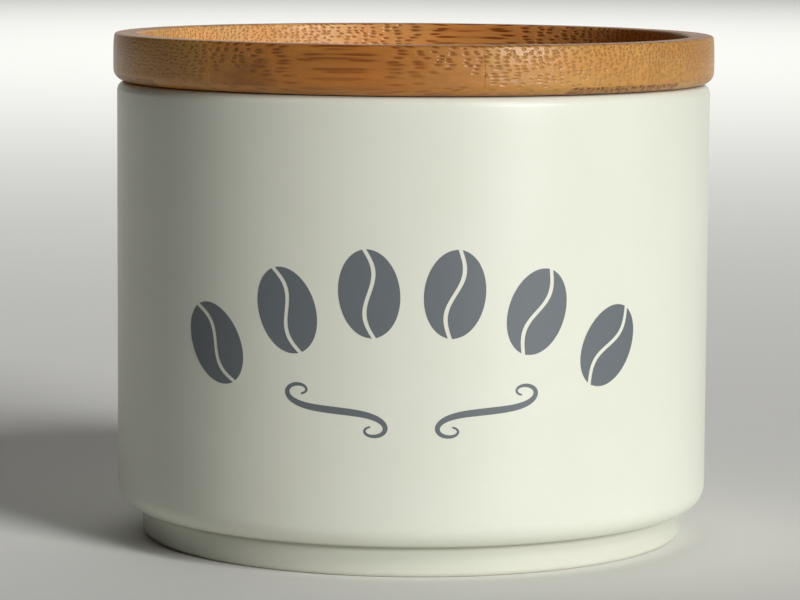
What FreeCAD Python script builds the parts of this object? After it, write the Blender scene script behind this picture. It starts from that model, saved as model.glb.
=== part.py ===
"""A stackable ceramic coffee canister with a bamboo lid.

The jar is one slip-cast piece with a stepped foot. The lid is turned from a board of two bamboo plies,
each glued up from parallel strips. A silicone ring in a groove round the lid's plug seals the mouth.

Millimetres. +Z is up, the origin is the centre of the foot's underside, and -Y is the printed front.
"""

import FreeCAD, Part
import math
import os

from FreeCAD import Vector

OUT = "parts"

# ---- Jar ----
JAR_R = 52.0
WALL = 4.0
JAR_TOP = 79.6
RIM_OUTER_ROUND = 1.6
RIM_INNER_ROUND = 1.2
FOOT_R = 47.6
FOOT_H = 5.2
FOOT_EDGE_ROUND = 1.0
FOOT_ROOT_ROUND = 0.5
SHOULDER_ROUND = 3.9
FOOT_RING_W = 4.2
FOOT_RING_DEPTH = 1.8
FOOT_RING_INNER_ROUND = 0.7
FLOOR_T = 4.6
FLOOR_ROUND = 8.0

# ---- Lid ----
LID_GAP = 0.25
LID_R = 52.66
LID_TOP = 88.0
LID_EDGE_ROUND = 2.1
LIP_EASE = 0.5
LIP_EASE_MIDDLE = 0.15
RECESS_R = 48.3
RECESS_DEPTH = 5.0
RECESS_ROOT_ROUND = 0.8
PLUG_CLEARANCE = 1.4
TOP_PLY_T = 7.0
BOTTOM_PLY_T = 7.4
PLUG_EDGE_ROUND = 0.8
GROOVE_H = 3.2
GROOVE_DEPTH = 1.6
GROOVE_ABOVE_PLUG = 1.5

# ---- Bamboo strips: they run along the fibre, and are laid side by side across it ----
FIBRE_ANGLE = -13.5
STRIP_W = 21.9
TOP_PLY_JOINTS = [-47.3 + STRIP_W * i for i in range(5)]
BOTTOM_PLY_JOINTS = [-38.3 + STRIP_W * i for i in range(4)]

# ---- Silicone ring ----
RING_PLAY = 0.15
RING_BAND_PROUD = 0.2
RING_EDGE_ROUND = 0.15
LIP_COUNT = 2
LIP_T = 0.7
LIP_TIP_T = 0.4
LIP_RISE = 0.35
LIP_ROOT_ROUND = 0.1
LIP_CLEARANCE = 0.3

LID_BOTTOM = JAR_TOP + LID_GAP
PLY_JOINT_Z = LID_TOP - TOP_PLY_T
PLUG_BOTTOM = PLY_JOINT_Z - BOTTOM_PLY_T
MOUTH_R = JAR_R - WALL
PLUG_R = MOUTH_R - PLUG_CLEARANCE
GROOVE_LOW = PLUG_BOTTOM + GROOVE_ABOVE_PLUG
GROOVE_HIGH = GROOVE_LOW + GROOVE_H
GROOVE_R = PLUG_R - GROOVE_DEPTH
BLANK_REACH = 1.2 * LID_R


class Outline:
    """A half section in the XZ plane, drawn as lines and corner arcs, to be turned about Z."""

    def __init__(self):
        self.corners = []

    def to(self, r, z, corner_round=0.0):
        """Adds a corner at radius r and height z, rounded by corner_round."""
        self.corners.append((Vector(r, 0, z), corner_round))
        return self

    def edges(self):
        """The closed loop of lines and arcs through the corners."""
        count = len(self.corners)
        cuts = []
        for i, (point, corner_round) in enumerate(self.corners):
            before = (self.corners[i - 1][0] - point).normalize()
            after = (self.corners[(i + 1) % count][0] - point).normalize()
            if corner_round == 0.0:
                cuts.append((point, None, point))
                continue
            half = before.getAngle(after) / 2
            setback = corner_round / math.tan(half)
            centre_way = (before + after).normalize()
            middle = point + centre_way * (corner_round / math.sin(half) - corner_round)
            cuts.append((point + before * setback, middle, point + after * setback))
        edges = []
        for i, (start, middle, end) in enumerate(cuts):
            if middle is not None:
                edges.append(Part.Arc(start, middle, end).toShape())
            following = cuts[(i + 1) % count][0]
            if end.distanceToPoint(following) > 1e-7:
                edges.append(Part.LineSegment(end, following).toShape())
        return edges

    def turned(self):
        """The solid of revolution about Z."""
        face = Part.Face(Part.Wire(self.edges()))
        return face.revolve(Vector(0, 0, 0), Vector(0, 0, 1), 360)


def make_jar():
    """The ceramic jar: foot ring, stepped foot, rounded shoulder, straight wall and rounded rim."""
    floor_top = FOOT_RING_DEPTH + FLOOR_T
    ring_inner = FOOT_R - FOOT_RING_W
    outline = Outline()
    outline.to(0, FOOT_RING_DEPTH)
    outline.to(ring_inner, FOOT_RING_DEPTH, FOOT_RING_INNER_ROUND)
    outline.to(ring_inner, 0, FOOT_RING_INNER_ROUND)
    outline.to(FOOT_R, 0, FOOT_EDGE_ROUND)
    outline.to(FOOT_R, FOOT_H, FOOT_ROOT_ROUND)
    outline.to(JAR_R, FOOT_H, SHOULDER_ROUND)
    outline.to(JAR_R, JAR_TOP, RIM_OUTER_ROUND)
    outline.to(MOUTH_R, JAR_TOP, RIM_INNER_ROUND)
    outline.to(MOUTH_R, floor_top, FLOOR_ROUND)
    outline.to(0, floor_top)
    return outline.turned()


def make_whole_lid():
    """The lid as it leaves the lathe: rim and stacking recess above, plug and ring groove below."""
    outline = Outline()
    outline.to(0, PLUG_BOTTOM)
    outline.to(PLUG_R, PLUG_BOTTOM, PLUG_EDGE_ROUND)
    outline.to(PLUG_R, GROOVE_LOW)
    outline.to(GROOVE_R, GROOVE_LOW)
    outline.to(GROOVE_R, GROOVE_HIGH)
    outline.to(PLUG_R, GROOVE_HIGH)
    outline.to(PLUG_R, LID_BOTTOM)
    outline.to(LID_R, LID_BOTTOM, LID_EDGE_ROUND)
    # the two edges of the rim's lip are eased with two narrow facets each
    outline.to(LID_R, LID_TOP - LIP_EASE)
    outline.to(LID_R - LIP_EASE_MIDDLE, LID_TOP - LIP_EASE_MIDDLE)
    outline.to(LID_R - LIP_EASE, LID_TOP)
    outline.to(RECESS_R + LIP_EASE, LID_TOP)
    outline.to(RECESS_R + LIP_EASE_MIDDLE, LID_TOP - LIP_EASE_MIDDLE)
    outline.to(RECESS_R, LID_TOP - LIP_EASE)
    outline.to(RECESS_R, LID_TOP - RECESS_DEPTH, RECESS_ROOT_ROUND)
    outline.to(0, LID_TOP - RECESS_DEPTH)
    return outline.turned()


def strip_blank(across_low, across_high, low, high):
    """An unturned strip that lies along the fibre, between two joint lines and two heights."""
    width = across_high - across_low
    blank = Part.makeBox(2 * BLANK_REACH, width, high - low, Vector(-BLANK_REACH, across_low, low))
    blank.rotate(Vector(0, 0, 0), Vector(0, 0, 1), FIBRE_ANGLE)
    return blank


def cut_ply(lid, name, joints, low, high):
    """The turned strips of one ply, numbered from the front of the lid to the back."""
    bounds = [-BLANK_REACH] + joints + [BLANK_REACH]
    strips = {}
    for i, (near, far) in enumerate(zip(bounds, bounds[1:])):
        strips[f"{name}_{i + 1}"] = lid.common(strip_blank(near, far, low, high))
    return strips


def make_seal_ring():
    """The silicone ring: a band that sits in the groove, with lips that slope up towards the mouth."""
    low = GROOVE_LOW + RING_PLAY
    high = GROOVE_HIGH - RING_PLAY
    inner = GROOVE_R + RING_PLAY
    band = PLUG_R + RING_BAND_PROUD
    tip = MOUTH_R - LIP_CLEARANCE
    pitch = (high - low) / LIP_COUNT
    outline = Outline()
    outline.to(inner, low, RING_EDGE_ROUND)
    outline.to(band, low, RING_EDGE_ROUND)
    for i in range(LIP_COUNT):
        root = low + pitch * (i + 0.5) - LIP_T / 2
        outline.to(band, root, LIP_ROOT_ROUND)
        outline.to(tip, root + LIP_RISE, RING_EDGE_ROUND)
        outline.to(tip, root + LIP_RISE + LIP_TIP_T, RING_EDGE_ROUND)
        outline.to(band, root + LIP_T, LIP_ROOT_ROUND)
    outline.to(band, high, RING_EDGE_ROUND)
    outline.to(inner, high, RING_EDGE_ROUND)
    return outline.turned()


def main():
    """Writes one STEP per piece."""
    os.makedirs(OUT, exist_ok=True)
    lid = make_whole_lid()
    pieces = {"jar": make_jar(), "seal_ring": make_seal_ring()}
    pieces.update(cut_ply(lid, "lid_top_strip", TOP_PLY_JOINTS, PLY_JOINT_Z, LID_TOP))
    pieces.update(cut_ply(lid, "lid_bottom_strip", BOTTOM_PLY_JOINTS, PLUG_BOTTOM, PLY_JOINT_Z))
    for name, shape in pieces.items():
        solids = shape.Solids
        print(name, "solids", len(solids), "valid", shape.isValid(), "volume", round(shape.Volume, 1))
        shape.exportStep(os.path.join(OUT, name + ".step"))


main()
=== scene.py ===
"""Looks for the stackable ceramic coffee canister with a bamboo lid.

Metres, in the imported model's own frame: +Z is up, the origin is under the foot, and -Y is the printed front.
"""

import math

import bmesh
import bpy
from mathutils import Matrix, Vector


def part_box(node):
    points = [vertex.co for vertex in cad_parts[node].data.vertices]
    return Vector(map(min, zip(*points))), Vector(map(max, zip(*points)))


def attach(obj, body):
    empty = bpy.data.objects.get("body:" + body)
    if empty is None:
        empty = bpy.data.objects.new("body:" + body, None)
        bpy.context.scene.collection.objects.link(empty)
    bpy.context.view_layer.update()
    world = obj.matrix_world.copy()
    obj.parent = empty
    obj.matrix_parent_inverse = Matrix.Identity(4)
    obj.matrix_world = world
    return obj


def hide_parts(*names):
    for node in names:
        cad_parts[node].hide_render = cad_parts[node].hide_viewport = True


MM = 0.001
SEGMENTS = 360
SHARP_ANGLE = math.radians(32)

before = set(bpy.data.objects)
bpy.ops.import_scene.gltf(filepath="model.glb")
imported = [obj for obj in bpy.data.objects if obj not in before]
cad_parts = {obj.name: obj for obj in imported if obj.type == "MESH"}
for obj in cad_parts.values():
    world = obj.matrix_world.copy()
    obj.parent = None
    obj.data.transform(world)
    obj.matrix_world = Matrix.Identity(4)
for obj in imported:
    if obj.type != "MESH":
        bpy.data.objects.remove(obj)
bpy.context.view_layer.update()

# ---- Jar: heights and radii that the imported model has, and its roundings ----
JAR_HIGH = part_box("jar")[1]
JAR_R = JAR_HIGH.x
JAR_TOP = JAR_HIGH.z
WALL = 4.0 * MM
RIM_OUTER_ROUND = 1.6 * MM
RIM_INNER_ROUND = 1.2 * MM
FOOT_R = 47.6 * MM
FOOT_H = 5.2 * MM
FOOT_EDGE_ROUND = 1.0 * MM
FOOT_ROOT_ROUND = 0.5 * MM
SHOULDER_ROUND = 3.9 * MM
FOOT_RING_W = 4.2 * MM
FOOT_RING_DEPTH = 1.8 * MM
FOOT_RING_INNER_ROUND = 0.7 * MM
FLOOR_TOP = 6.4 * MM
FLOOR_ROUND = 8.0 * MM
MOUTH_R = JAR_R - WALL

# ---- Lid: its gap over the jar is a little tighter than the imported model's ----
LID_GAP = 0.12 * MM
LID_R = 52.66 * MM
LID_BOTTOM = JAR_TOP + LID_GAP
LID_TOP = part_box("lid_top_strip_3")[1].z
LID_EDGE_ROUND = 2.1 * MM
LIP_EASE = 0.5 * MM
PLY_JOINT_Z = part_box("lid_top_strip_3")[0].z
PLUG_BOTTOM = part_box("lid_bottom_strip_3")[0].z
PLUG_R = MOUTH_R - 1.4 * MM
PLUG_EDGE_ROUND = 0.8 * MM
GROOVE_R = PLUG_R - 1.6 * MM
GROOVE_LOW = PLUG_BOTTOM + 1.5 * MM
GROOVE_HIGH = GROOVE_LOW + 3.2 * MM
RECESS_R = 48.3 * MM
RECESS_FLOOR = LID_TOP - 5.0 * MM
RECESS_ROOT_ROUND = 0.8 * MM

# ---- Bamboo strips: they run along the fibre, and are laid side by side across it ----
FIBRE_ANGLE = math.radians(-13.5)
STRIP_W = 21.9 * MM
TOP_PLY_JOINTS = [-47.3 * MM + STRIP_W * i for i in range(5)]
BOTTOM_PLY_JOINTS = [-38.3 * MM + STRIP_W * i for i in range(4)]

# ---- Silicone ring ----
RING_PLAY = 0.15 * MM
RING_BAND_PROUD = 0.2 * MM
RING_EDGE_ROUND = 0.15 * MM
SEAL_LIP_COUNT = 2
SEAL_LIP_T = 0.7 * MM
SEAL_LIP_TIP_T = 0.4 * MM
SEAL_LIP_RISE = 0.35 * MM
SEAL_LIP_ROOT_ROUND = 0.1 * MM
SEAL_LIP_CLEARANCE = 0.3 * MM

# ---- Print: an arch of beans over two scrolls, laid out on the unrolled front of the jar ----
PRINT_T = 0.03 * MM
BEAN_COUNT = 6
BEAN_LENGTH = 14.6 * MM
BEAN_WIDTH = 10.2 * MM
BEAN_ROWS, BEAN_COLUMNS = 41, 7
BEAN_LEAN = math.radians(33)
ARCH_HALF_W = 35.2 * MM
ARCH_TOP_Z = 48.0 * MM
ARCH_DROP = 9.9 * MM
SCROLL_X, SCROLL_Z = 12.8, 28.3
SCROLL_HALF_LENGTH = 17.5
SCROLL_CURL = 0.95
SCROLL_SAMPLES = 90
SCROLL_FLATTENING = 0.60


# ------------------------------------------------------------------ meshes

def profile(corners, arc_step=math.radians(9)):
    """Points of a half section: corners are (radius, height, rounding)."""
    points = []
    count = len(corners)
    for i, (r, z, rounding) in enumerate(corners):
        corner = Vector((r, z))
        before = (Vector(corners[i - 1][:2]) - corner).normalized()
        after = (Vector(corners[(i + 1) % count][:2]) - corner).normalized()
        if rounding == 0:
            points.append(corner)
            continue
        half = before.angle(after) / 2
        setback = rounding / math.tan(half)
        centre = corner + (before + after).normalized() * (rounding / math.sin(half))
        start = corner + before * setback - centre
        sweep = math.pi - 2 * half
        if start.x * (corner - centre).y - start.y * (corner - centre).x < 0:
            sweep = -sweep
        steps = max(3, math.ceil(abs(sweep) / arc_step))
        for k in range(steps + 1):
            a = sweep * k / steps
            turned = Vector((
                start.x * math.cos(a) - start.y * math.sin(a),
                start.x * math.sin(a) + start.y * math.cos(a),
            ))
            points.append(centre + turned)
    return points


def subdivided(points, longest):
    """The same closed outline with no run longer than longest, except on the axis."""
    result = []
    for i, p in enumerate(points):
        q = points[(i + 1) % len(points)]
        result.append(p)
        if p.x < 1e-9 and q.x < 1e-9:
            continue
        parts = max(1, math.ceil((q - p).length / longest))
        result += [p.lerp(q, k / parts) for k in range(1, parts)]
    return result


def lathe(points):
    """A closed bmesh: the outline turned about Z. Points on the axis become single vertices."""
    bm = bmesh.new()
    rings = []
    for p in points:
        if p.x < 1e-9:
            rings.append([bm.verts.new((0, 0, p.y))])
            continue
        rings.append([
            bm.verts.new((p.x * math.cos(a), p.x * math.sin(a), p.y))
            for a in (2 * math.pi * k / SEGMENTS for k in range(SEGMENTS))
        ])
    for i, ring in enumerate(rings):
        following = rings[(i + 1) % len(rings)]
        if len(ring) == 1 and len(following) == 1:
            continue
        for k in range(SEGMENTS):
            n = (k + 1) % SEGMENTS
            if len(ring) == 1:
                bm.faces.new((ring[0], following[k], following[n]))
            elif len(following) == 1:
                bm.faces.new((ring[n], ring[k], following[0]))
            else:
                bm.faces.new((ring[n], ring[k], following[k], following[n]))
    bmesh.ops.recalc_face_normals(bm, faces=bm.faces)
    return bm


def keep_side(bm, point, outward):
    """Cuts off what lies beyond a plane, and closes the cut."""
    cut = bmesh.ops.bisect_plane(
        bm, geom=bm.verts[:] + bm.edges[:] + bm.faces[:], dist=1e-8,
        plane_co=point, plane_no=outward, clear_outer=True,
    )["geom_cut"]
    edges = [e for e in cut if isinstance(e, bmesh.types.BMEdge) and e.is_valid and e.is_boundary]
    if edges:
        bmesh.ops.triangle_fill(bm, use_beauty=True, edges=edges)


def finish_mesh(bm, name, material, body, node=None):
    """Makes an object of the bmesh, smooth except at its sharp edges, that rides on a body."""
    bmesh.ops.remove_doubles(bm, verts=bm.verts, dist=1e-7)
    bmesh.ops.recalc_face_normals(bm, faces=bm.faces)
    mesh = bpy.data.meshes.new(name)
    bm.to_mesh(mesh)
    bm.free()
    mesh.polygons.foreach_set("use_smooth", [True] * len(mesh.polygons))
    mesh.set_sharp_from_angle(angle=SHARP_ANGLE)
    obj = bpy.data.objects.new(name, mesh)
    bpy.context.scene.collection.objects.link(obj)
    mesh.materials.append(material)
    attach(obj, body)
    if node:
        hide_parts(node)
    return obj


# ------------------------------------------------------------------ node graphs

class Graph:
    """A material's node tree, written as expressions: each call returns an output socket."""

    def __init__(self, name):
        self.material = bpy.data.materials.new(name)
        self.material.use_nodes = True
        self.tree = self.material.node_tree
        self.tree.nodes.clear()
        self.output = self.tree.nodes.new("ShaderNodeOutputMaterial")
        self.bsdf = self.tree.nodes.new("ShaderNodeBsdfPrincipled")
        self.tree.links.new(self.bsdf.outputs[0], self.output.inputs["Surface"])

    def node(self, kind, inputs=None, **settings):
        made = self.tree.nodes.new(kind)
        for key, value in settings.items():
            setattr(made, key, value)
        for key, value in (inputs or {}).items():
            self.put(made.inputs[key], value)
        return made

    def put(self, socket, value):
        if isinstance(value, bpy.types.NodeSocket):
            self.tree.links.new(value, socket)
        else:
            socket.default_value = value

    def math(self, operation, *values, clamp=False):
        made = self.tree.nodes.new("ShaderNodeMath")
        made.operation = operation
        made.use_clamp = clamp
        for socket, value in zip(made.inputs, values):
            self.put(socket, value)
        return made.outputs[0]

    def add(self, a, b):
        return self.math("ADD", a, b)

    def sub(self, a, b):
        return self.math("SUBTRACT", a, b)

    def mul(self, a, b):
        return self.math("MULTIPLY", a, b)

    def smooth(self, value, low, high, to_low=0.0, to_high=1.0):
        """A smooth step from to_low to to_high as value goes from low to high."""
        made = self.node("ShaderNodeMapRange", {
            "Value": value, "From Min": low, "From Max": high, "To Min": to_low, "To Max": to_high,
        }, interpolation_type="SMOOTHSTEP")
        return made.outputs["Result"]

    def ramp(self, value, low, high, to_low, to_high):
        """A clamped straight line from to_low to to_high."""
        made = self.node("ShaderNodeMapRange", {
            "Value": value, "From Min": low, "From Max": high, "To Min": to_low, "To Max": to_high,
        })
        return made.outputs["Result"]

    def mix(self, share, a, b, blend="MIX"):
        made = self.node("ShaderNodeMix", data_type="RGBA", blend_type=blend, clamp_factor=True)
        self.put(made.inputs[0], share)
        self.put(made.inputs[6], a)
        self.put(made.inputs[7], b)
        return made.outputs[2]

    def vector(self, x, y, z):
        return self.node("ShaderNodeCombineXYZ", {0: x, 1: y, 2: z}).outputs[0]

    def split(self, vector):
        return self.node("ShaderNodeSeparateXYZ", {0: vector}).outputs[:3]

    def noise(self, vector, scale=1.0, detail=2.0, roughness=0.5):
        return self.node("ShaderNodeTexNoise", {
            "Vector": vector, "Scale": scale, "Detail": detail, "Roughness": roughness,
        }).outputs[0]

    def place(self, turn=0.0):
        """The point in the piece's own frame, in millimetres, turned about Z."""
        coords = self.node("ShaderNodeTexCoord").outputs["Object"]
        return self.node("ShaderNodeMapping", {
            "Vector": coords, "Rotation": (0, 0, turn), "Scale": (1 / MM,) * 3,
        }).outputs[0]

    def bump(self, height, depth_mm, normal=None):
        made = self.node("ShaderNodeBump", {"Height": height, "Strength": 1.0, "Distance": depth_mm * MM})
        if normal is not None:
            self.put(made.inputs["Normal"], normal)
        return made.outputs[0]

    def shade(self, **values):
        for key, value in values.items():
            self.put(self.bsdf.inputs[key.replace("_", " ")], value)
        return self.material


def rgb(r, g, b):
    return (r, g, b, 1.0)


def bamboo(name, seed, z_low, z_high, tone=1.0, warmth=0.0, fewest=0.55,
           flipped=False, dark_skin=0.0, node_at=None):
    """Laminated bamboo. The fibre bundles run through the strip as a solid texture, closer at its skin side.

    Any cut shows what it would on the real strip: dots on end grain, ovals on slanting cuts and long
    dashes where the surface runs along the fibre. The skin side is the upper one, unless it is flipped.
    """
    g = Graph(name)
    along, across, up = g.split(g.place(-FIBRE_ANGLE))

    # a node of the culm: a short brown band where the fibres swerve
    if node_at is None:
        knot = 0.0
    else:
        bend = g.noise(g.vector(0.0, g.mul(across, 0.5), g.mul(up, 0.5)), 1.0, 2.0, 0.5)
        away = g.math("ABSOLUTE", g.sub(g.add(along, g.mul(bend, 6.0)), node_at + 3.0))
        knot = g.mul(g.smooth(away, 6.0, 1.5), g.ramp(up, z_low / MM + 2.5, z_low / MM + 5.0, 1.0, 0.15))

    # the fibres wander a little as they run
    drift = g.node("ShaderNodeTexNoise", {
        "Vector": g.vector(g.mul(along, 0.045), g.add(g.mul(across, 0.16), seed * 3.7), g.mul(up, 0.3)),
        "Scale": 1.0, "Detail": 2.0, "Roughness": 0.5,
    }).outputs["Color"]
    drift_across, drift_up, drift_tone = g.split(drift)
    v = g.add(across, g.mul(g.sub(drift_across, 0.5), g.add(1.3, g.mul(knot, 2.0))))
    w = g.add(up, g.mul(g.sub(drift_up, 0.5), 0.9))

    # bundles: one per cell of the section, and fewer of them away from the skin
    cell_v, cell_w = 0.80, 0.60
    cell_x = g.add(g.mul(v, 1 / cell_v), seed * 17.3)
    cell_y = g.mul(w, 1 / cell_w)
    cells = g.node("ShaderNodeTexVoronoi", {
        "Vector": g.vector(cell_x, cell_y, 0.0), "Scale": 1.0, "Randomness": 0.62,
    }, voronoi_dimensions="2D", feature="F1")
    chance, size, shade = g.split(cells.outputs["Color"])
    centre_x, centre_y, _ = g.split(cells.outputs["Position"])
    pale_side, skin_side = (z_high / MM, z_low / MM) if flipped else (z_low / MM, z_high / MM)
    skin = g.ramp(g.mul(centre_y, cell_w), pale_side, skin_side, 0.0, 1.0)
    present = g.math("LESS_THAN", chance, g.smooth(skin, 0.0, 0.75, fewest, 1.0))
    girth = g.add(0.82, g.mul(size, 0.36))
    half_v = g.mul(girth, g.ramp(skin, 0.1, 0.9, 0.23, 0.140))
    half_w = g.mul(girth, g.ramp(skin, 0.1, 0.9, 0.17, 0.155))
    off_v = g.math("DIVIDE", g.mul(g.sub(cell_x, centre_x), cell_v), half_v)
    off_w = g.math("DIVIDE", g.mul(g.sub(cell_y, centre_y), cell_w), half_w)
    reach = g.math("SQRT", g.add(g.mul(off_v, off_v), g.mul(off_w, off_w)))
    body = g.mul(g.smooth(reach, 1.25, 0.70), present)
    halo = g.mul(g.smooth(reach, 2.1, 1.1), present)
    # the wide inner bundles are dark above and below a paler middle
    waist = g.mul(g.smooth(g.math("ABSOLUTE", off_w), 0.50, 0.15), g.smooth(skin, 0.60, 0.25))

    # ground tissue: paler and less red on end grain than along the fibre
    normal = g.node("ShaderNodeTexCoord").outputs["Normal"]
    end_grain = g.math("ABSOLUTE", g.node("ShaderNodeVectorMath", {
        0: normal, 1: (math.cos(FIBRE_ANGLE), math.sin(FIBRE_ANGLE), 0),
    }, operation="DOT_PRODUCT").outputs["Value"])
    across_cut = g.smooth(end_grain, 0.05, 0.75)
    ground = g.mix(across_cut, rgb(0.435, 0.165, 0.031), rgb(0.545, 0.277, 0.077))
    streak_place = g.vector(g.mul(along, 0.035), g.add(g.mul(across, 1.1), seed), g.mul(up, 1.1))
    streak = g.noise(streak_place, 1.0, 3.0, 0.6)
    fine_place = g.vector(g.mul(along, 0.4), g.add(g.mul(across, 7.0), seed), g.mul(up, 7.0))
    fine = g.noise(fine_place, 1.0, 2.0, 0.6)
    cloud_place = g.vector(g.mul(along, 0.10), g.mul(across, 0.10), g.add(g.mul(up, 0.22), seed))
    cloud = g.noise(cloud_place, 1.0, 2.0, 0.5)
    light = g.mul(
        g.ramp(streak, 0.25, 0.75, 0.88 * tone, 1.10 * tone),
        g.ramp(fine, 0.3, 0.7, 0.94, 1.05),
    )
    light = g.mul(light, g.ramp(drift_tone, 0.3, 0.7, 0.93, 1.05))
    grey = g.node("ShaderNodeCombineColor", {0: light, 1: light, 2: light}).outputs[0]
    colour = g.mix(1.0, ground, grey, "MULTIPLY")
    # patches of the culm are yellower, others redder
    redder = rgb(1.02 + warmth, 0.94, 0.86)
    yellower = rgb(0.99, 1.05 - warmth, 1.04)
    hue = g.mix(g.ramp(cloud, 0.32, 0.68, 0.0, 1.0), redder, yellower)
    colour = g.mix(1.0, colour, hue, "MULTIPLY")

    # the turned recess is paler than the handled outside
    radius = g.math("SQRT", g.add(g.mul(along, along), g.mul(across, across)))
    inside = g.smooth(radius, RECESS_R / MM + 0.6, RECESS_R / MM + 0.1)
    above = g.smooth(up, PLY_JOINT_Z / MM, RECESS_FLOOR / MM - 1.0)
    paler = g.mix(1.0, colour, rgb(1.32, 1.45, 2.0), "MULTIPLY")
    colour = g.mix(g.mul(inside, above), colour, paler)

    # the bundles' dark sheaths
    sheath = g.mix(across_cut, rgb(0.215, 0.050, 0.005), rgb(0.335, 0.130, 0.018))
    colour = g.mix(g.mul(halo, g.ramp(skin, 0.2, 1.0, 0.08, 0.20)), colour, sheath)
    dark = g.mul(g.mul(body, g.ramp(skin, 0.0, 0.8, 0.50, 1.0)), g.ramp(shade, 0.0, 1.0, 0.75, 1.0))
    dark = g.mul(dark, g.ramp(end_grain, 0.25, 0.70, 1.0, 0.64))
    dark = g.mul(dark, g.sub(1.0, g.mul(waist, 0.55)))
    # painted reflection: towards one end of the strips, on the outside, the bundles are painted paler and show
    # less, as a veil of reflected light washes them out there
    outside = g.smooth(radius, RECESS_R / MM + 0.6, RECESS_R / MM + 2.0)
    painted_veil = g.mul(outside, g.ramp(along, -18.0, -36.0, 0.0, 0.72))
    dark = g.mul(dark, g.sub(1.0, painted_veil))
    colour = g.mix(dark, colour, sheath)
    if dark_skin:
        rind = g.smooth(g.math("ABSOLUTE", g.sub(w, skin_side)), 1.5, 0.5)
        crowd = g.mul(g.ramp(reach, 0.6, 2.2, dark_skin, 0.3 * dark_skin), rind)
        colour = g.mix(crowd, colour, rgb(0.20, 0.070, 0.012))
    if node_at is not None:
        colour = g.mix(g.mul(knot, g.ramp(streak, 0.3, 0.7, 0.80, 0.42)), colour, rgb(0.22, 0.085, 0.020))

    # lacquer that sinks a little over the bundles and the grain
    # where the reflection veil is painted, the pits are also made shallower
    pit = g.mul(g.mul(g.smooth(reach, 2.0, 0.5), present), g.sub(1.0, painted_veil))
    relief = g.add(g.mul(pit, g.ramp(skin, 0.0, 1.0, -0.6, -1.0)), g.mul(fine, 0.22))
    relief = g.add(relief, g.mul(streak, 0.25))
    surface = g.bump(relief, 0.14)
    return g.shade(
        Base_Color=colour,
        Roughness=g.ramp(fine, 0.3, 0.7, 0.46, 0.56),
        Specular_IOR_Level=0.16,
        Normal=surface,
        Coat_Normal=surface,
        Coat_Weight=0.52,
        Coat_Roughness=0.17,
    )


def glaze():
    """Satin glaze, pale greenish ivory, over white stoneware that is bare on the foot ring's underside."""
    g = Graph("satin_glaze")
    place = g.place()
    x, y, z = g.split(place)
    r = g.math("SQRT", g.add(g.mul(x, x), g.mul(y, y)))
    cloud = g.noise(place, 0.06, 3.0, 0.55)
    mottle = g.noise(place, 0.9, 3.0, 0.6)
    pinhole = g.noise(place, 3.2, 1.0, 0.5)
    colour = g.mix(g.ramp(cloud, 0.3, 0.7, 0.0, 1.0), rgb(0.775, 0.790, 0.675), rgb(0.800, 0.815, 0.705))
    colour = g.mix(g.ramp(mottle, 0.45, 0.75, 0.0, 0.10), colour, rgb(0.72, 0.73, 0.60))
    # painted shade: the glaze is painted darker and greyer on the foot, and a painted shadow line lies in the
    # corner over it
    foot = g.smooth(z, FOOT_H / MM + 0.3, FOOT_H / MM - 0.3)
    colour = g.mix(g.mul(foot, 0.72), colour, rgb(0.64, 0.65, 0.55))
    # painted shadow: a dark line along the corner where the foot meets the body
    step_shadow = g.mul(g.smooth(g.math("ABSOLUTE", g.sub(z, FOOT_H / MM)), 1.0, 0.1), g.smooth(r, 50.8, 48.8))
    colour = g.mix(g.mul(step_shadow, 0.80), colour, rgb(0.33, 0.34, 0.25))
    bare = g.mul(g.smooth(g.add(z, g.mul(g.sub(mottle, 0.5), 0.4)), 0.32, 0.14), g.smooth(r, 43.0, 43.4))
    colour = g.mix(bare, colour, rgb(0.70, 0.66, 0.57))
    relief = g.add(g.mul(cloud, 1.0), g.mul(mottle, 0.05))
    normal = g.bump(relief, 0.10)
    normal = g.bump(g.add(g.mul(pinhole, 0.4), g.mul(g.noise(place, 12.0, 1.0, 0.5), bare)), 0.006, normal)
    rough = g.add(g.ramp(mottle, 0.3, 0.7, 0.32, 0.39), g.mul(bare, 0.4))
    return g.shade(Base_Color=colour, Roughness=rough, Normal=normal)


def silicone():
    """Milky, slightly dusty silicone."""
    g = Graph("milky_silicone")
    place = g.place()
    cloud = g.noise(place, 0.25, 2.0, 0.5)
    dust = g.noise(place, 9.0, 2.0, 0.6)
    colour = g.mix(cloud, rgb(0.70, 0.71, 0.68), rgb(0.78, 0.79, 0.76))
    return g.shade(
        Base_Color=colour,
        Roughness=g.ramp(dust, 0.3, 0.7, 0.34, 0.46),
        Normal=g.bump(dust, 0.004),
        Subsurface_Weight=0.25,
        Subsurface_Radius=(0.6, 0.6, 0.5),
        Subsurface_Scale=0.002,
    )


def ink():
    """Fired slate-grey transfer print."""
    g = Graph("slate_print")
    place = g.place()
    speck = g.noise(place, 6.0, 3.0, 0.65)
    cloud = g.noise(place, 0.5, 2.0, 0.5)
    colour = g.mix(speck, rgb(0.118, 0.138, 0.152), rgb(0.148, 0.170, 0.184))
    colour = g.mix(g.mul(cloud, 0.3), colour, rgb(0.16, 0.175, 0.18))
    rough = g.ramp(speck, 0.3, 0.7, 0.46, 0.56)
    return g.shade(Base_Color=colour, Roughness=rough, Normal=g.bump(speck, 0.003))


# ------------------------------------------------------------------ jar

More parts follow.
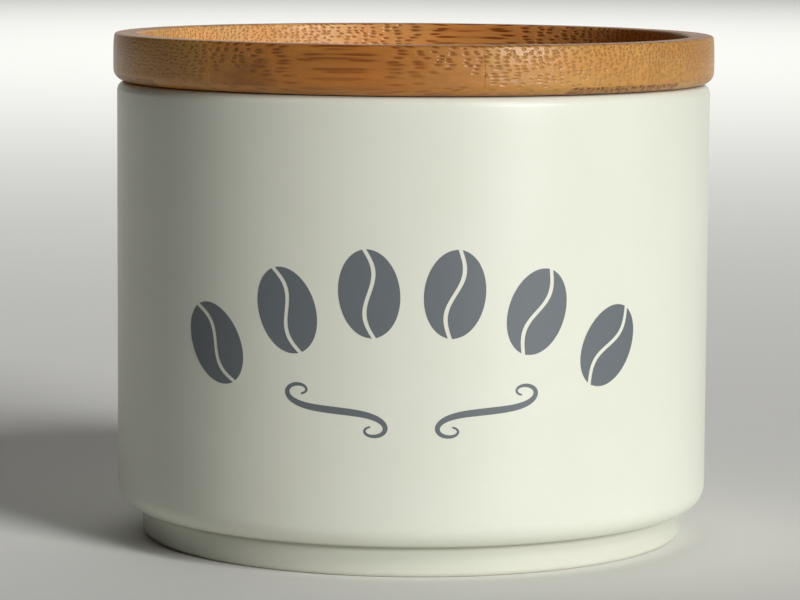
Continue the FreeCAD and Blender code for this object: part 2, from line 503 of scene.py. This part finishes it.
def make_jar():
    """The ceramic jar, whole: foot ring, stepped foot, rounded shoulder, straight wall and rounded rim."""
    ring_inner = FOOT_R - FOOT_RING_W
    corners = [
        (0, FOOT_RING_DEPTH, 0),
        (ring_inner, FOOT_RING_DEPTH, FOOT_RING_INNER_ROUND),
        (ring_inner, 0, FOOT_RING_INNER_ROUND),
        (FOOT_R, 0, FOOT_EDGE_ROUND),
        (FOOT_R, FOOT_H, FOOT_ROOT_ROUND),
        (JAR_R, FOOT_H, SHOULDER_ROUND),
        (JAR_R, JAR_TOP, RIM_OUTER_ROUND),
        (MOUTH_R, JAR_TOP, RIM_INNER_ROUND),
        (MOUTH_R, FLOOR_TOP, FLOOR_ROUND),
        (0, FLOOR_TOP, 0),
    ]
    bm = lathe(subdivided(profile(corners), 4 * MM))
    finish_mesh(bm, "ceramic_jar", glaze(), "jar", "jar")


make_jar()


# ------------------------------------------------------------------ lid

def lid_profile():
    """The turned lid's half section. The top of its outer wall curves in a little, as sanding leaves it."""
    return profile([
        (0, PLUG_BOTTOM, 0),
        (PLUG_R, PLUG_BOTTOM, PLUG_EDGE_ROUND),
        (PLUG_R, GROOVE_LOW, 0),
        (GROOVE_R, GROOVE_LOW, 0),
        (GROOVE_R, GROOVE_HIGH, 0),
        (PLUG_R, GROOVE_HIGH, 0),
        (PLUG_R, LID_BOTTOM, 0),
        (LID_R, LID_BOTTOM, LID_EDGE_ROUND),
        (LID_R, LID_TOP - 3.0 * MM, 16 * MM),
        (LID_R - 0.06 * MM, LID_TOP - 1.5 * MM, 12 * MM),
        (LID_R - 0.21 * MM, LID_TOP, LIP_EASE),
        (RECESS_R, LID_TOP, LIP_EASE),
        (RECESS_R, RECESS_FLOOR, RECESS_ROOT_ROUND),
        (0, RECESS_FLOOR, 0),
    ])


# how the strips differ, from the front to the back
TOP_PLY_LOOKS = [
    dict(tone=0.97, warmth=0.05, fewest=0.30, node_at=-15.0),
    dict(tone=1.04),
    dict(tone=0.98, warmth=0.02),
    dict(tone=1.03, node_at=24.0),
    dict(tone=0.99, warmth=0.03),
    dict(tone=1.06),
]
BOTTOM_PLY_LOOKS = [
    dict(tone=1.06, flipped=True),
    dict(tone=0.96, warmth=0.04, dark_skin=1.0),
    dict(tone=1.02, flipped=True),
    dict(tone=0.98, dark_skin=0.6, node_at=-20.0),
    dict(tone=1.03, dark_skin=0.6),
]


def make_ply(name, joints, z_low, z_high, upper, looks):
    """Cuts the turned lid into one ply's strips, numbered from the front."""
    far = 1.2 * LID_R
    way = Vector((-math.sin(FIBRE_ANGLE), math.cos(FIBRE_ANGLE), 0))
    bounds = [-far] + joints + [far]
    for i, (near, back) in enumerate(zip(bounds, bounds[1:])):
        bm = lathe(subdivided(lid_profile(), 3 * MM))
        keep_side(bm, (0, 0, PLY_JOINT_Z), (0, 0, -1 if upper else 1))
        if near > -far:
            keep_side(bm, way * near, -way)
        if back < far:
            keep_side(bm, way * back, way)
        node = f"{name}_{i + 1}"
        material = bamboo(f"bamboo_{node}", i + (0 if upper else 11), z_low, z_high, **looks[i])
        finish_mesh(bm, "turned_" + node, material, "lid", node)


make_ply("lid_top_strip", TOP_PLY_JOINTS, PLY_JOINT_Z, LID_TOP, True, TOP_PLY_LOOKS)
make_ply("lid_bottom_strip", BOTTOM_PLY_JOINTS, PLUG_BOTTOM, PLY_JOINT_Z, False, BOTTOM_PLY_LOOKS)


# ------------------------------------------------------------------ seal ring

def make_seal():
    """The ring: a band that sits in the groove, with lips that slope up towards the mouth."""
    low, high = GROOVE_LOW + RING_PLAY, GROOVE_HIGH - RING_PLAY
    inner = GROOVE_R + RING_PLAY
    band = PLUG_R + RING_BAND_PROUD
    tip = MOUTH_R - SEAL_LIP_CLEARANCE
    corners = [(inner, low, RING_EDGE_ROUND), (band, low, RING_EDGE_ROUND)]
    pitch = (high - low) / SEAL_LIP_COUNT
    for i in range(SEAL_LIP_COUNT):
        root = low + pitch * (i + 0.5) - SEAL_LIP_T / 2
        corners += [
            (band, root, SEAL_LIP_ROOT_ROUND),
            (tip, root + SEAL_LIP_RISE, RING_EDGE_ROUND),
            (tip, root + SEAL_LIP_RISE + SEAL_LIP_TIP_T, RING_EDGE_ROUND),
            (band, root + SEAL_LIP_T, SEAL_LIP_ROOT_ROUND),
        ]
    corners += [(band, high, RING_EDGE_ROUND), (inner, high, RING_EDGE_ROUND)]
    bm = lathe(profile(corners, math.radians(18)))
    finish_mesh(bm, "silicone_seal", silicone(), "seal", "seal_ring")


make_seal()


# ------------------------------------------------------------------ print

def wrapped(grid, name, material):
    """A thin closed patch on the jar: grid[row][column] are (x, z) on the unrolled front, in metres."""
    rows, columns = len(grid), len(grid[0])
    bm = bmesh.new()
    layers = []
    for r in (JAR_R - PRINT_T, JAR_R + PRINT_T):
        layers.append([[
            bm.verts.new((r * math.sin(x / JAR_R), -r * math.cos(x / JAR_R), z)) for x, z in row
        ] for row in grid])
    low, high = layers
    for i in range(rows - 1):
        for j in range(columns - 1):
            bm.faces.new((high[i][j], high[i][j + 1], high[i + 1][j + 1], high[i + 1][j]))
            bm.faces.new((low[i][j], low[i + 1][j], low[i + 1][j + 1], low[i][j + 1]))
    rim = [(0, j) for j in range(columns)] + [(i, columns - 1) for i in range(1, rows)]
    rim += [(rows - 1, j) for j in range(columns - 2, -1, -1)] + [(i, 0) for i in range(rows - 2, 0, -1)]
    for a, b in zip(rim, rim[1:] + rim[:1]):
        bm.faces.new((low[a[0]][a[1]], low[b[0]][b[1]], high[b[0]][b[1]], high[a[0]][a[1]]))
    finish_mesh(bm, name, material, "jar")


def bean_half(centre, tilt, side):
    """One half of a coffee bean, as rows across it from its S-shaped crease to its outline."""
    grid = []
    for i in range(BEAN_ROWS):
        # rows are closer together towards the two tips
        t = math.sin((-1 + 2 * i / (BEAN_ROWS - 1)) * math.pi / 2)
        outline = BEAN_WIDTH / 2 * math.sqrt(max(0.0, 1 - t * t))
        crease = BEAN_WIDTH * (0.11 * math.sin(math.pi * t) + side * 0.035)
        outer = side * outline
        narrowest = 0.02 * BEAN_WIDTH
        if side * (outer - crease) < narrowest:
            outer = crease + side * narrowest
        row = []
        for j in range(BEAN_COLUMNS):
            x = crease + (outer - crease) * j / (BEAN_COLUMNS - 1)
            z = t * BEAN_LENGTH / 2
            row.append((
                centre[0] + x * math.cos(tilt) - z * math.sin(tilt),
                centre[1] + x * math.sin(tilt) + z * math.cos(tilt),
            ))
        grid.append(row)
    return grid


def scroll(side):
    """One S-shaped scroll of the ornament, as three points across its stroke at each step along it."""
    step = 2 * SCROLL_HALF_LENGTH / (SCROLL_SAMPLES - 1)
    shares = [-1 + 2 * k / (SCROLL_SAMPLES - 1) for k in range(SCROLL_SAMPLES)]
    # the line leans a little in the middle, and curls up more and more towards both ends
    heading = [math.radians(8) + SCROLL_CURL * SCROLL_HALF_LENGTH * abs(u) ** 2.7 / 2.7 for u in shares]
    middle = SCROLL_SAMPLES // 2
    places = [None] * SCROLL_SAMPLES
    places[middle] = (0.0, 0.0)
    for k in range(middle, SCROLL_SAMPLES - 1):
        x, z = places[k]
        places[k + 1] = (x + math.cos(heading[k]) * step, z + math.sin(heading[k]) * step)
    for k in range(middle, 0, -1):
        x, z = places[k]
        places[k - 1] = (x - math.cos(heading[k]) * step, z - math.sin(heading[k]) * step)
    grid = []
    for u, angle, (x, z) in zip(shares, heading, places):
        half_width = (0.32 + 0.85 * (1 - u * u) ** 1.3) / 2
        aside_x, aside_z = -math.sin(angle) * half_width, math.cos(angle) * half_width
        grid.append([(
            (SCROLL_X + x + aside_x * j) * side * MM,
            (SCROLL_Z + SCROLL_FLATTENING * z + aside_z * j) * MM,
        ) for j in (-1, 0, 1)])
    return grid


def make_print():
    """An arch of coffee beans over two scrolls: a plain ornament, with no lettering."""
    material = ink()
    middle = (BEAN_COUNT - 1) / 2
    for i in range(BEAN_COUNT):
        share = (i - middle) / middle
        centre = (ARCH_HALF_W * share, ARCH_TOP_Z - ARCH_DROP * share ** 2)
        for side, half in ((-1, "left"), (1, "right")):
            grid = bean_half(centre, -BEAN_LEAN * share, side)
            wrapped(grid, f"print_bean_{i + 1}_{half}", material)
    for side, half in ((-1, "left"), (1, "right")):
        wrapped(scroll(side), f"print_scroll_{half}", material)


make_print()


# ------------------------------------------------------------------ stage, light, camera

def paper():
    """Plain pale paper, very slightly uneven."""
    g = Graph("pale_paper")
    grain = g.noise(g.place(), 0.02, 2.0, 0.5)
    colour = g.mix(g.mul(grain, 0.05), rgb(0.895, 0.892, 0.855), rgb(0.80, 0.80, 0.79))
    return g.shade(Base_Color=colour, Roughness=0.8)


def make_floor():
    """A wide plain floor."""
    bm = bmesh.new()
    bmesh.ops.create_grid(bm, x_segments=8, y_segments=8, size=12)
    mesh = bpy.data.meshes.new("floor")
    bm.to_mesh(mesh)
    bm.free()
    floor = bpy.data.objects.new("floor", mesh)
    mesh.materials.append(paper())
    bpy.context.scene.collection.objects.link(floor)


def soft_sun(name, azimuth, elevation, angle, strength):
    """Even light from a soft disc far away. Azimuth 0 is in front, and 90 is on the right."""
    a, e = math.radians(azimuth), math.radians(elevation)
    way = Vector((math.sin(a) * math.cos(e), -math.cos(a) * math.cos(e), math.sin(e)))
    light = bpy.data.lights.new(name, "SUN")
    light.angle = math.radians(angle)
    light.energy = strength
    obj = bpy.data.objects.new(name, light)
    obj.location = way
    obj.rotation_euler = (-way).to_track_quat("-Z", "Y").to_euler()
    bpy.context.scene.collection.objects.link(obj)


def make_camera():
    """At the height and distance from which the canister was seen, with a long lens and no shift."""
    yaw, pitch, roll = math.radians(-0.196), math.radians(6.434), math.radians(0.356)
    forward = Vector((math.sin(yaw) * math.cos(pitch), math.cos(yaw) * math.cos(pitch), -math.sin(pitch)))
    level = Vector((math.cos(yaw), -math.sin(yaw), 0))
    rise = level.cross(forward)
    right = level * math.cos(roll) + rise * math.sin(roll)
    up = rise * math.cos(roll) - level * math.sin(roll)
    camera = bpy.data.cameras.new("camera")
    camera.sensor_width = 36
    camera.lens = 160.6
    camera.clip_start, camera.clip_end = 0.01, 100
    obj = bpy.data.objects.new("camera", camera)
    turn = Matrix((right, up, -forward)).transposed()
    obj.matrix_world = Matrix.Translation((0, -0.6282, 0.11167)) @ turn.to_4x4()
    bpy.context.scene.collection.objects.link(obj)
    bpy.context.scene.camera = obj


def make_backdrop_light():
    """A broad card overhead, behind the canister: it whitens the floor that is seen around it."""
    card = bpy.data.lights.new("backdrop_card", "AREA")
    card.shape = "RECTANGLE"
    card.size, card.size_y = 1.7, 2.2
    card.energy = 18.0
    holder = bpy.data.objects.new("backdrop_card", card)
    holder.location = (0, 2.0, 1.0)
    holder.visible_glossy = False
    bpy.context.scene.collection.objects.link(holder)


def make_world():
    """A dim room with a broad warm white backdrop behind the canister, low over the horizon."""
    world = bpy.data.worlds.new("studio")
    world.use_nodes = True
    tree = world.node_tree
    coords = tree.nodes.new("ShaderNodeTexCoord")
    split = tree.nodes.new("ShaderNodeSeparateXYZ")
    tree.links.new(coords.outputs["Generated"], split.inputs[0])
    backdrop = tree.nodes.new("ShaderNodeMath")
    backdrop.operation = "MULTIPLY"
    for i, (axis, low, high) in enumerate((("Y", 0.80, 0.95), ("Z", 0.40, 0.22))):
        step = tree.nodes.new("ShaderNodeMapRange")
        step.interpolation_type = "SMOOTHSTEP"
        step.inputs["From Min"].default_value = low
        step.inputs["From Max"].default_value = high
        tree.links.new(split.outputs[axis], step.inputs["Value"])
        tree.links.new(step.outputs["Result"], backdrop.inputs[i])
    level = tree.nodes.new("ShaderNodeMapRange")
    level.inputs["To Min"].default_value = 0.01
    level.inputs["To Max"].default_value = 0.85
    tree.links.new(backdrop.outputs[0], level.inputs["Value"])
    background = tree.nodes["Background"]
    tree.links.new(level.outputs["Result"], background.inputs["Strength"])
    background.inputs["Color"].default_value = rgb(1.0, 0.95, 0.86)
    bpy.context.scene.world = world


make_floor()
soft_sun("key_low", 43, 13.5, 20, 2.10)
soft_sun("key_high", 41, 41, 16, 0.90)
make_backdrop_light()
make_camera()
make_world()
bpy.context.scene.view_settings.view_transform = "Standard"
